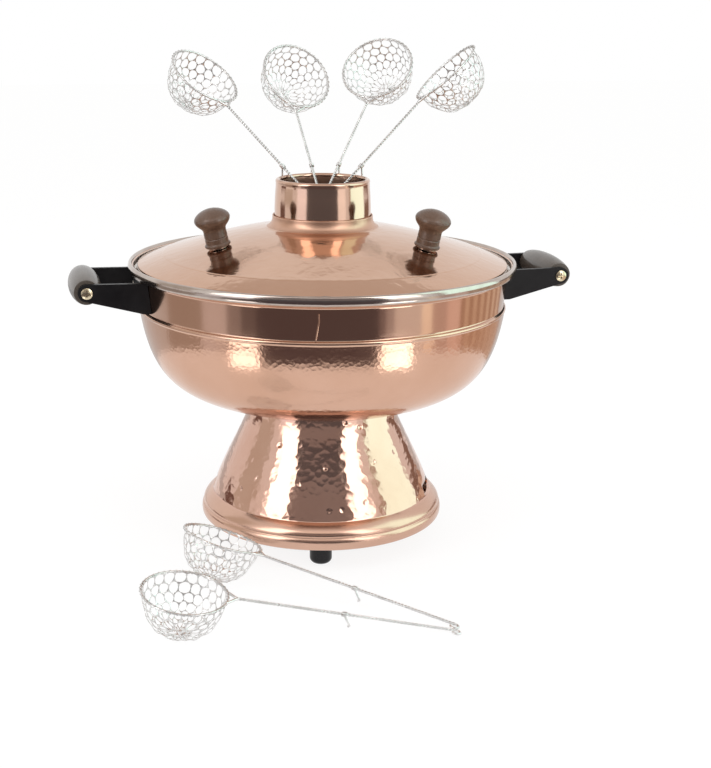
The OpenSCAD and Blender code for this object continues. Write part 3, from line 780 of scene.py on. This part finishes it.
# %% [markdown]
# The bowl is one raised sheet. Its floor is nearly flat where it lies on the pedestal, so that from
# a raised eye its own curve hides the join. It swells to the shoulder, where a small half-round
# roll ends the hammering, steps in to the smooth band, and flares into the lip that carries the rim
# bead. Turning its outline is quicker than shaping a sphere, and keeps every width right. The band
# is a second material on the faces above the roll, and the inside is tinned.

# %% Bowl
copper_sheet = 1.5
band_number, inside_number = 1, 2
floor_middle = (53.4, 102.6)
floor_join = (80.0, 108.9)
shoulder = (132.0, 174.0)
band_foot = (130.8, 177.5)
floor_slope = math.radians(16.5)
shoulder_lean = math.radians(8.5)
floor_pull = 29
shoulder_pull = 48
roll_middle = (131.1, 175.75)
hammering_top = 174.3 * mm
from_floor = (
    floor_join[0] + floor_pull * math.cos(floor_slope),
    floor_join[1] + floor_pull * math.sin(floor_slope),
)
to_shoulder = (
    shoulder[0] - shoulder_pull * math.sin(shoulder_lean),
    shoulder[1] - shoulder_pull * math.cos(shoulder_lean),
)
bowl_outline = curve(floor_middle, (62.0, 104.0), (71.5, 106.4), floor_join, 10)
bowl_outline += curve(floor_join, from_floor, to_shoulder, shoulder, 36)[1:]
bowl_outline += arc(roll_middle, 1.6, -50, 92, 10)
bowl_outline += [(band_foot[0], 177.9), (band_foot[0] + 0.3, 179.5), (132.1, 189.0), (133.0, 197.6)]
bowl_outline += [(133.15, 198.8), (133.3, 199.2), (133.9, 199.8), (135.4, 200.5), (136.6, 201.1)]
bowl_outline += [(137.1, 202.0), (137.3, 203.5), (137.2, 205.5), (136.8, 206.8)]
bowl = turned(bowl_outline)
sheet_metal(bowl, copper_sheet, inside_number)
dress(bowl, "copper_bowl", "pot", "copper_hammered", bowl_copper, band_copper, tinned_inside)
refinish(bowl, band_number, lambda centre: centre.z > hammering_top)
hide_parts("bowl")

# %% [markdown]
# Wires and seams are bent from one helper. A path is made by pulling a single vertex from point to
# point, then it is turned into a curve, given a round section, and turned back into a mesh. A skin
# on the path would be quicker to add, but not as round.

# %% Wire helpers
def bent_wire(points, radius, sides=3, closed=False):
    """A round wire of that radius along points, in metres. More sides make it rounder."""
    deselect_all()
    bpy.ops.mesh.primitive_plane_add(size=mm, location=points[0])
    piece = bpy.context.object
    bpy.ops.object.mode_set(mode="EDIT")
    bpy.ops.mesh.merge(type="CENTER")
    for here, after in zip(points, points[1:]):
        pull = Vector(after) - Vector(here)
        bpy.ops.mesh.extrude_region_move(TRANSFORM_OT_translate={"value": pull})
    if closed:
        bpy.ops.mesh.select_all(action="SELECT")
        bpy.ops.mesh.remove_doubles(threshold=0.001 * mm)
    bpy.ops.object.mode_set(mode="OBJECT")
    settle(piece)
    bpy.ops.object.convert(target="CURVE")
    piece = bpy.context.object
    piece.data.bevel_depth = radius
    piece.data.bevel_resolution = sides
    piece.data.use_fill_caps = True
    bpy.ops.object.convert(target="MESH")
    piece = bpy.context.object
    edit(piece)
    smooth_outwards()
    return piece


def joined(*pieces):
    """One piece out of several, with the first one's origin."""
    pick(pieces[0])
    for piece in pieces[1:]:
        piece.select_set(True)
    bpy.ops.object.join()
    return bpy.context.object


# %% [markdown]
# A soldered seam closes the band at the front: a thin upright bead of solder, not quite straight,
# that catches the light of both soft boxes. It is a wire sunk half into the band.

# %% Band seam
band_front = camera_turn - 90
seam_wire_r = 0.55 * mm
seam_line = (
    (-1.7, 130.8, 178.4), (-1.3, 131.4, 184.0), (-0.8, 132.15, 191.0), (-0.9, 132.8, 196.0),
)
seam_points = []
for turn, radius, height in seam_line:
    angle = math.radians(band_front + turn)
    seam_points.append((radius * mm * math.cos(angle), radius * mm * math.sin(angle), height * mm))
band_seam = bent_wire(seam_points, seam_wire_r)
dress(band_seam, "band_seam", "pot", "copper_hammered", band_copper)

# %% [markdown]
# The rim bead is a thick wire, tinned bright, bent to a hoop and hammered flat against the lip. Its
# two ends are soldered together at the front, where a small blob shows. A torus gives the hoop,
# stretched to twice its height so that its side mirrors what the band mirrors, and swollen in two
# steps near the joint.

# %% Rim bead
bead_flatness = 2.0
joint_turn = math.radians(band_front + 0.9)
joint_direction = Vector((math.cos(joint_turn), math.sin(joint_turn), 0))
deselect_all()
bpy.ops.mesh.primitive_torus_add(
    major_radius=137.8 * mm, minor_radius=1.7 * mm, major_segments=512, minor_segments=24,
    location=(0, 0, 205.0 * mm), rotation=(0, 0, joint_turn),
)
bead = bpy.context.object
bead.scale = (1, 1, bead_flatness)
settle(bead)
edit(bead)
for width, swell in ((0.016, 0.16 * mm), (0.008, 0.2 * mm)):
    select_where(
        bead, "VERT",
        lambda v: abs(Vector((v.co.x, v.co.y, 0)).normalized().cross(joint_direction).z) < width
        and v.co.dot(joint_direction) > 0,
    )
    bpy.ops.transform.shrink_fatten(value=swell)
    print("swollen at the joint:", sum(v.select for v in bead.data.vertices), "points")
bpy.ops.object.mode_set(mode="OBJECT")
pick(bead)
bpy.ops.object.shade_smooth()
dress(bead, "rim_bead", "pot", "tin", tin)
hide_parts("rim_ring")

# %% [markdown]
# The chimney is a tube that opens into the fire shaft inside the bowl. Its top edge is rolled
# outwards over a wire, so the outline ends in well over half a circle. Inside it is stained by the
# fire.

# %% Chimney
edge_roll = (32.0, 263.85)
edge_roll_r = 1.75
chimney_sheet = 1.2
soot_number = 1
flue_outline = [(62.6, 106.4)]
flue_outline += curve((62.1, 109.0), (57.5, 138.0), (34.5, 165.1), (34.5, 212.1), 20)
flue_outline += [(34.5, 230.0), (34.5, 246.1), (34.1, 254.0), (33.6, 260.6)]
flue_outline += arc(edge_roll, edge_roll_r, -20, 200, 16)
flue = turned(flue_outline)
sheet_metal(flue, chimney_sheet, soot_number)
dress(flue, "chimney", "pot", "copper_polished", chimney_copper, sooty_copper)
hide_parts("flue")

# %% [markdown]
# The lid is spun from one disc: an upright skirt that drops into the lip, a sloping brim, a low
# dome and a collar that grips the chimney. The crease between brim and dome is the line that shows
# at the front. Three points close together keep it sharp, because smooth shading would spread it
# over a long face.

# %% Lid
lid_sheet = 1.0
tin_number, collar_number = 1, 2
collar_foot_r = 40.5 * mm
lid_edge = (132.6, 206.6)
brim_top = (114.1, 213.5)
dome_top = (42.0, 231.2)
collar_r = 36.0
lid_outline = [(132.6, 201.6), (132.6, 205.8), lid_edge, (123.0, 210.2), (116.0, 212.75)]
lid_outline += [(114.9, 213.1), (114.7, 213.25)]
lid_outline += curve(brim_top, (96.1, 218.2), (72.0, 227.0), dome_top, 30)
lid_outline += curve(dome_top, (38.5, 232.0), (36.6, 233.8), (collar_r, 237.2), 10)[1:]
lid_outline += [(collar_r, 239.6), (collar_r - 0.3, 240.0)]
lid = turned(rounded(lid_outline, 0.9))
sheet_metal(lid, lid_sheet, tin_number)
dress(lid, "copper_lid", "lid", "copper_polished", lid_copper, tinned_inside, collar_copper)
refinish(lid, collar_number, lambda centre: math.hypot(centre.x, centre.y) < collar_foot_r)
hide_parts("lid")

# %% [markdown]
# The pedestal is a hammered cone on a smooth flange, with a groove over its rolled lower edge. At
# the top it carries on to meet the bowl's floor. Two slots let the draught in. They are cut after
# the sheet has got its thickness, with a block and a Boolean modifier, so that their edges are
# closed.

# %% Pedestal
flange_number, back_number = 1, 2
flange_top = 35.0 * mm
slot_z = 39.5 * mm
slot_size = (200 * mm, 34 * mm, 7.5 * mm)
slot_turn = -19
cone_foot = (81.1, 35.6)
pedestal_outline = [(87.4, 17.0), (88.8, 17.9), (89.5, 19.6), (89.6, 21.6), (89.5, 23.4)]
pedestal_outline += [(89.0, 24.8), (88.5, 25.5), (88.1, 25.9), (88.0, 26.4)]
pedestal_outline += curve((88.3, 27.0), (88.2, 29.2), (86.4, 31.4), (83.2, 34.1), 12)
pedestal_outline += [(82.0, 35.0), cone_foot]
pedestal_outline += curve(cone_foot, (75.0, 54.0), (65.5, 70.5), (57.5, 88.3), 30)[1:]
pedestal_outline += curve((57.5, 88.3), (55.9, 91.9), (54.3, 97.5), (53.4, 102.4), 8)[1:]
pedestal = turned(rounded(pedestal_outline, 0.8))
sheet_metal(pedestal, copper_sheet, back_number)
deselect_all()
bpy.ops.mesh.primitive_cube_add(size=1, location=(0, 0, slot_z))
slot_block = bpy.context.object
slot_block.scale = slot_size
settle(slot_block)
finish_with(slot_block, "BEVEL", width=2.5 * mm, segments=4)
slot_block.rotation_euler = (0, 0, math.radians(slot_turn))
finish_with(pedestal, "BOOLEAN", object=slot_block, operation="DIFFERENCE", solver="EXACT")
bpy.data.objects.remove(slot_block)
dress(
    pedestal, "hammered_pedestal", "pot", "copper_hammered",
    pedestal_copper, flange_copper, plain_copper,
)
refinish(pedestal, flange_number, lambda centre: centre.z < flange_top)
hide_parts("pedestal")

# %% [markdown]
# Inside the pedestal's top sits a short sleeve. It follows the cone, and the fire grate lies on its
# ledge.

# %% Neck sleeve
sleeve_sheet = 1.0 * mm
sleeve = turned([(47.5, 89.5), (54.0, 89.5), (54.9, 89.1), (57.6, 82.4), (57.8, 81.0)])
finish_with(sleeve, "SOLIDIFY", thickness=sleeve_sheet, offset=0)
dress(sleeve, "neck_sleeve_ring", "pot", "copper_hammered", plain_copper)
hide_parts("neck_sleeve")

# %% [markdown]
# The ring of a skimmer is one hoop. Its net is hexagonal wire mesh, pressed into a deep cup, and
# its edge is bound to the hoop with a thin wire that winds round and round. A tube of quads becomes
# hexagons when every second upright edge is dissolved and the corners that are left are pushed up
# and down in turn.

# %% Hoop and net
ring_r = 27.5 * mm
ring_wire_r = 1.0 * mm
hoop_wire_r = 0.7 * ring_wire_r
net_r = ring_r - ring_wire_r - 0.15 * mm
net_depth = 29.0 * mm
net_rows = 6
cells_round = 22
columns = 2 * cells_round
net_end = 80.0
wall_roundness = 0.75
zigzag_share = 0.17
closing_share = 0.3

deselect_all()
bpy.ops.mesh.primitive_torus_add(
    major_radius=ring_r, minor_radius=hoop_wire_r, major_segments=96, minor_segments=10
)
hoop = bpy.context.object
bpy.ops.object.shade_smooth()


def cup_point(down, turn):
    """A point on the cup, that many degrees down its wall and round it."""
    down, turn = math.radians(down), math.radians(turn)
    out = net_r * math.cos(down) ** wall_roundness
    return Vector((out * math.cos(turn), out * math.sin(turn), -net_depth * math.sin(down)))


deselect_all()
bpy.ops.mesh.primitive_circle_add(vertices=columns, radius=net_r)
net = bpy.context.object
bpy.ops.object.mode_set(mode="EDIT")
row_depth = net_depth / net_rows
for row in range(net_rows):
    bpy.ops.mesh.extrude_region_move(TRANSFORM_OT_translate={"value": (0, 0, -row_depth)})
bpy.ops.object.mode_set(mode="OBJECT")
# Each point's ring, counted from the top, and its column, counted round the circle
place_of = {}
for v in net.data.vertices:
    ring = round(-v.co.z / row_depth)
    column = round(math.atan2(v.co.y, v.co.x) / (2 * math.pi) * columns) % columns
    place_of[v.index] = (ring, column)
edit(net)
select_where(
    net, "EDGE",
    lambda e: place_of[e.vertices[0]][0] != place_of[e.vertices[1]][0]
    and (min(place_of[i][0] for i in e.vertices) + place_of[e.vertices[0]][1]) % 2 == 0,
)
bpy.ops.mesh.dissolve_edges(use_verts=False)
bpy.ops.object.mode_set(mode="OBJECT")
row_angle = net_end / net_rows
for v in net.data.vertices:
    ring, column = place_of[v.index]
    zigzag = row_angle * (zigzag_share if (ring + column) % 2 else -zigzag_share)
    if ring == 0:
        zigzag = 0
    v.co = cup_point(ring * row_angle + zigzag, column * 360 / columns)
edit(net)
select_where(net, "VERT", lambda v: place_of[v.index][0] == net_rows)
bpy.ops.mesh.extrude_region_move(TRANSFORM_OT_translate={"value": (0, 0, -0.3 * mm)})
bpy.ops.transform.resize(
    value=(closing_share, closing_share, 1), center_override=(0, 0, -net_depth)
)
bpy.ops.mesh.select_all(action="SELECT")
bpy.ops.mesh.remove_doubles(threshold=1.5 * mm)
bpy.ops.object.mode_set(mode="OBJECT")
print("net cells:", len(net.data.polygons))

# %% [markdown]
# The binding is one closed wire. Two short wires run from the hoop into the handle. Every basket is
# a copy of the same net, hoop and binding, but its net is bent in its own way before it gets its
# wires, as each net has been in use.

# %% Binding, neck and basket
points_per_turn = 8
binding_turns = 42
binding_out = 0.95 * mm
binding_wire_r = 0.22 * mm
binding_points = []
for step in range(binding_turns * points_per_turn + 1):
    wind = step * 2 * math.pi / points_per_turn
    reach = ring_r + binding_out * math.cos(wind)
    round_ring = wind / binding_turns
    binding_points.append(
        (reach * math.cos(round_ring), reach * math.sin(round_ring), binding_out * math.sin(wind))
    )
binding = bent_wire(binding_points, binding_wire_r, sides=1, closed=True)

neck_out = 6.0 * mm
neck_spread = 14
neck_wire_r = 0.85 * ring_wire_r
net_wire = 0.46 * mm
net_bend = 0.75 * mm


def neck_wire(side_sign):
    """One of the two wires that run from the hoop into the handle."""
    spread = math.radians(neck_spread)
    start = (-ring_r * math.cos(spread), side_sign * ring_r * math.sin(spread))
    points = curve(
        start, (start[0] - 2.5 * mm, start[1] * 0.8), (-ring_r - 4 * mm, side_sign * 0.6 * mm),
        (-ring_r - neck_out, side_sign * 0.4 * mm), 8,
    )
    return bent_wire([(x, y, 0) for x, y in points], neck_wire_r)


def basket(number):
    """A copy of the basket, its net a little bent in its own way."""
    own_net = copy_of(net)
    edit(own_net)
    select_where(own_net, "VERT", lambda v: v.co.z < -2 * mm)
    bpy.ops.transform.vertex_random(offset=net_bend, uniform=1.0, seed=number)
    bpy.ops.object.mode_set(mode="OBJECT")
    finish_with(
        own_net, "WIREFRAME", thickness=net_wire,
        use_even_offset=False, use_boundary=True, use_replace=True,
    )
    finish_with(own_net, "SUBSURF", levels=1, render_levels=1)
    whole = joined(own_net, copy_of(hoop), copy_of(binding), neck_wire(1), neck_wire(-1))
    bpy.ops.object.shade_smooth()
    return whole


# %% [markdown]
# The handle is a pair of wires twisted together. A screw modifier could wind them, but a wire along
# a helix ends cleanly. About half way down a short hook, held by a wrap of thin wire, reaches over
# the chimney's edge. The handle's end is bent into an open loop. A handle lies along X, with the
# chimney's edge at zero.

# %% Skimmer handle
upper_len = 74.0 * mm
lower_len = 66.0 * mm
handle_wire_r = 1.1 * mm
twist = 4.8 * mm
strand_r = 0.5 * mm
strand_out = 0.6 * mm
loop_r = 2.6 * mm
loop_wire_r = 0.72 * handle_wire_r
loop_steps = 18
loop_turn = 250
handle_len = lower_len + upper_len
step_count = round(handle_len / twist * points_per_turn)


def strand(start_angle):
    """One of the two twisted wires. The other starts half a turn later."""
    points = []
    for step in range(step_count + 1):
        angle = start_angle + step * 2 * math.pi / points_per_turn
        along = -lower_len + handle_len * step / step_count
        points.append((along, strand_out * math.cos(angle), strand_out * math.sin(angle)))
    return bent_wire(points, strand_r, sides=1)


def end_loop(tilt):
    """The open loop at the handle's end, turned by tilt about the handle."""
    turn = Matrix.Rotation(math.radians(tilt), 3, "X")
    points = []
    for step in range(loop_steps + 1):
        angle = math.radians(-90 - step * loop_turn / loop_steps)
        along, across = loop_r * math.cos(angle), loop_r * math.sin(angle)
        points.append(turn @ Vector((-lower_len + along, loop_r + across, 0)))
    return bent_wire(points, loop_wire_r)


hook_at = 6 * mm
hook_len = 8.5 * mm
hook_lean = 35
hook_wire_r = 0.72 * ring_wire_r
wrap_r = 1.45 * mm
wrap_wire_r = 0.38 * mm
wrap_steps = 16


def middle_hook():
    """The hook that holds a skimmer on the edge, and the thin wire wrapped round its root."""
    lean_back = math.radians(hook_lean)
    root = Vector((hook_at, 0, -handle_wire_r * 0.6))
    along = Vector((-math.sin(lean_back), 0, -math.cos(lean_back)))
    points = [root + along * hook_len * share for share in (0, 0.35, 0.7, 0.95)]
    points.append(points[-1] + Vector((0.5 * mm, 0, -0.6 * mm)))
    points.append(points[-1] + Vector((0.9 * mm, 0, 0.1 * mm)))
    hook = bent_wire(points, hook_wire_r)
    wrap = []
    for step in range(-wrap_steps, wrap_steps + 1):
        wind = step * math.pi / 4
        at = hook_at + step * 0.1 * mm
        wrap.append((at, wrap_r * math.cos(wind), wrap_r * math.sin(wind)))
    return joined(hook, bent_wire(wrap, wrap_wire_r, sides=1))


print("handle, mm:", round(handle_len / mm), "with", step_count, "steps")

# %% [markdown]
# The skimmers take their places from the same numbers as the part's source: where a handle crosses
# the chimney's edge, which way it points and how far it leans, and how the ring is bent against it.

# %% Skimmers in place
layout = Matrix.Rotation(math.radians(camera_turn), 4, "Z")
basket_depth = 30.0 * mm
hook_gap = 0.35 * mm
# Hanging: place on the edge, direction, lean, roll of the ring, bend of the neck, tilt of the loop.
# Lying: x and y of the hook in mm, direction, roll, bend. All angles are in degrees.
hanging = [
    (143, 138, 54.5, 5, 5, 0),
    (103, 102, 60, 17, 23, 120),
    (72, 67, 53.5, 0, 14, 0),
    (41, 36, 50.5, -19, 0, 0),
]
lying = [(21, -185, 183, -5, -2), (28, -145, 154.5, 16, 3)]


def turn_about(axis, degrees):
    return Matrix.Rotation(math.radians(degrees), 4, axis)


def hanging_place(edge, toward_angle, lean):
    """Puts a handle on the rolled edge, clear of it by the hook's gap."""
    clear = edge_roll_r * mm + handle_wire_r + hook_gap
    height = edge_roll[1] * mm + clear / math.sin(math.radians(lean))
    edge, circle_r = math.radians(edge), edge_roll[0] * mm
    at = Vector((circle_r * math.cos(edge), circle_r * math.sin(edge), height))
    standing = layout @ Matrix.Translation(at) @ turn_about("Z", toward_angle)
    return standing @ turn_about("Y", lean - 90)


def lying_place(x, y, toward_angle, roll, bend):
    """Lays a skimmer down, its net and its handle's end on the table."""
    rest_h, end_h = basket_depth + 0.4 * mm, handle_wire_r + 0.5 * mm
    reach = ring_r + neck_out
    along = handle_len + reach * math.cos(math.radians(bend))
    across = reach * math.sin(math.radians(bend)) * math.cos(math.radians(roll))
    slope = math.asin((rest_h - end_h) / math.hypot(along, across)) - math.atan2(across, along)
    at = Vector((x * mm, y * mm, end_h + lower_len * math.sin(slope)))
    turned_way = Matrix.Translation(at) @ turn_about("Z", toward_angle)
    return layout @ turned_way @ turn_about("Y", -math.degrees(slope))


def ring_place(roll, bend):
    """Where the ring is, seen from the handle."""
    return (
        turn_about("X", roll) @ Matrix.Translation((upper_len, 0, 0)) @ turn_about("Y", -bend)
        @ Matrix.Translation((ring_r + neck_out, 0, 0))
    )


def skimmer(number, place, roll, bend, tilt):
    """Makes one skimmer: basket, handle and hook, each in place of its CAD node."""
    cup = basket(number)
    cup.matrix_world = place @ ring_place(roll, bend)
    settle(cup)
    handle = joined(strand(0), strand(math.pi), end_loop(tilt))
    handle.matrix_world = place
    settle(handle)
    body = f"skimmer_{number}"
    dress(cup, f"skimmer_{number}_basket", body, "tinned_wire", wire_tin)
    dress(handle, f"skimmer_{number}_handle", body, "tinned_wire", wire_tin)
    hook = middle_hook()
    hook.matrix_world = place
    dress(hook, f"skimmer_{number}_hook", body, "tinned_wire", wire_tin)
    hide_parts(f"skimmer_{number}_net")
    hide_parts(f"skimmer_{number}_wire")
    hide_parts(f"skimmer_{number}_catch")


for number, (edge, toward_angle, lean, roll, bend, tilt) in enumerate(hanging, 1):
    skimmer(number, hanging_place(edge, toward_angle, lean), roll, bend, tilt)
for number, (x, y, toward_angle, roll, bend) in enumerate(lying, 5):
    skimmer(number, lying_place(x, y, toward_angle, roll, bend), roll, bend, 0)
for part in (hoop, net, binding):
    bpy.data.objects.remove(part)
print("skimmers made")

# %% [markdown]
# The parts whose CAD shape is right stay as they are, and only get their finish. Modelling them
# again would gain nothing.

# %% Finishes of the CAD nodes
finishes = {
    "base_ring": plain_copper, "fire_grate": iron, "ash_plate": iron,
    "bracket_left": black_enamel, "bracket_right": black_enamel,
    "grip_left": grip_wood, "grip_right": grip_wood,
    "bolt_left": screw_brass, "bolt_right": screw_brass, "nut_left": steel, "nut_right": steel,
    "rivets_left": steel, "rivets_right": steel,
}
for number in (1, 2, 3):
    finishes[f"foot_{number}"] = foot_black
    finishes[f"foot_screw_{number}"] = steel
    finishes[f"knob_{number}"] = knob_wood
    finishes[f"knob_washer_{number}"] = tin
    finishes[f"knob_screw_{number}"] = steel
for name, material in finishes.items():
    nodes[name].data.materials.clear()
    nodes[name].data.materials.append(material)
print("CAD nodes with a new finish:", len(finishes))
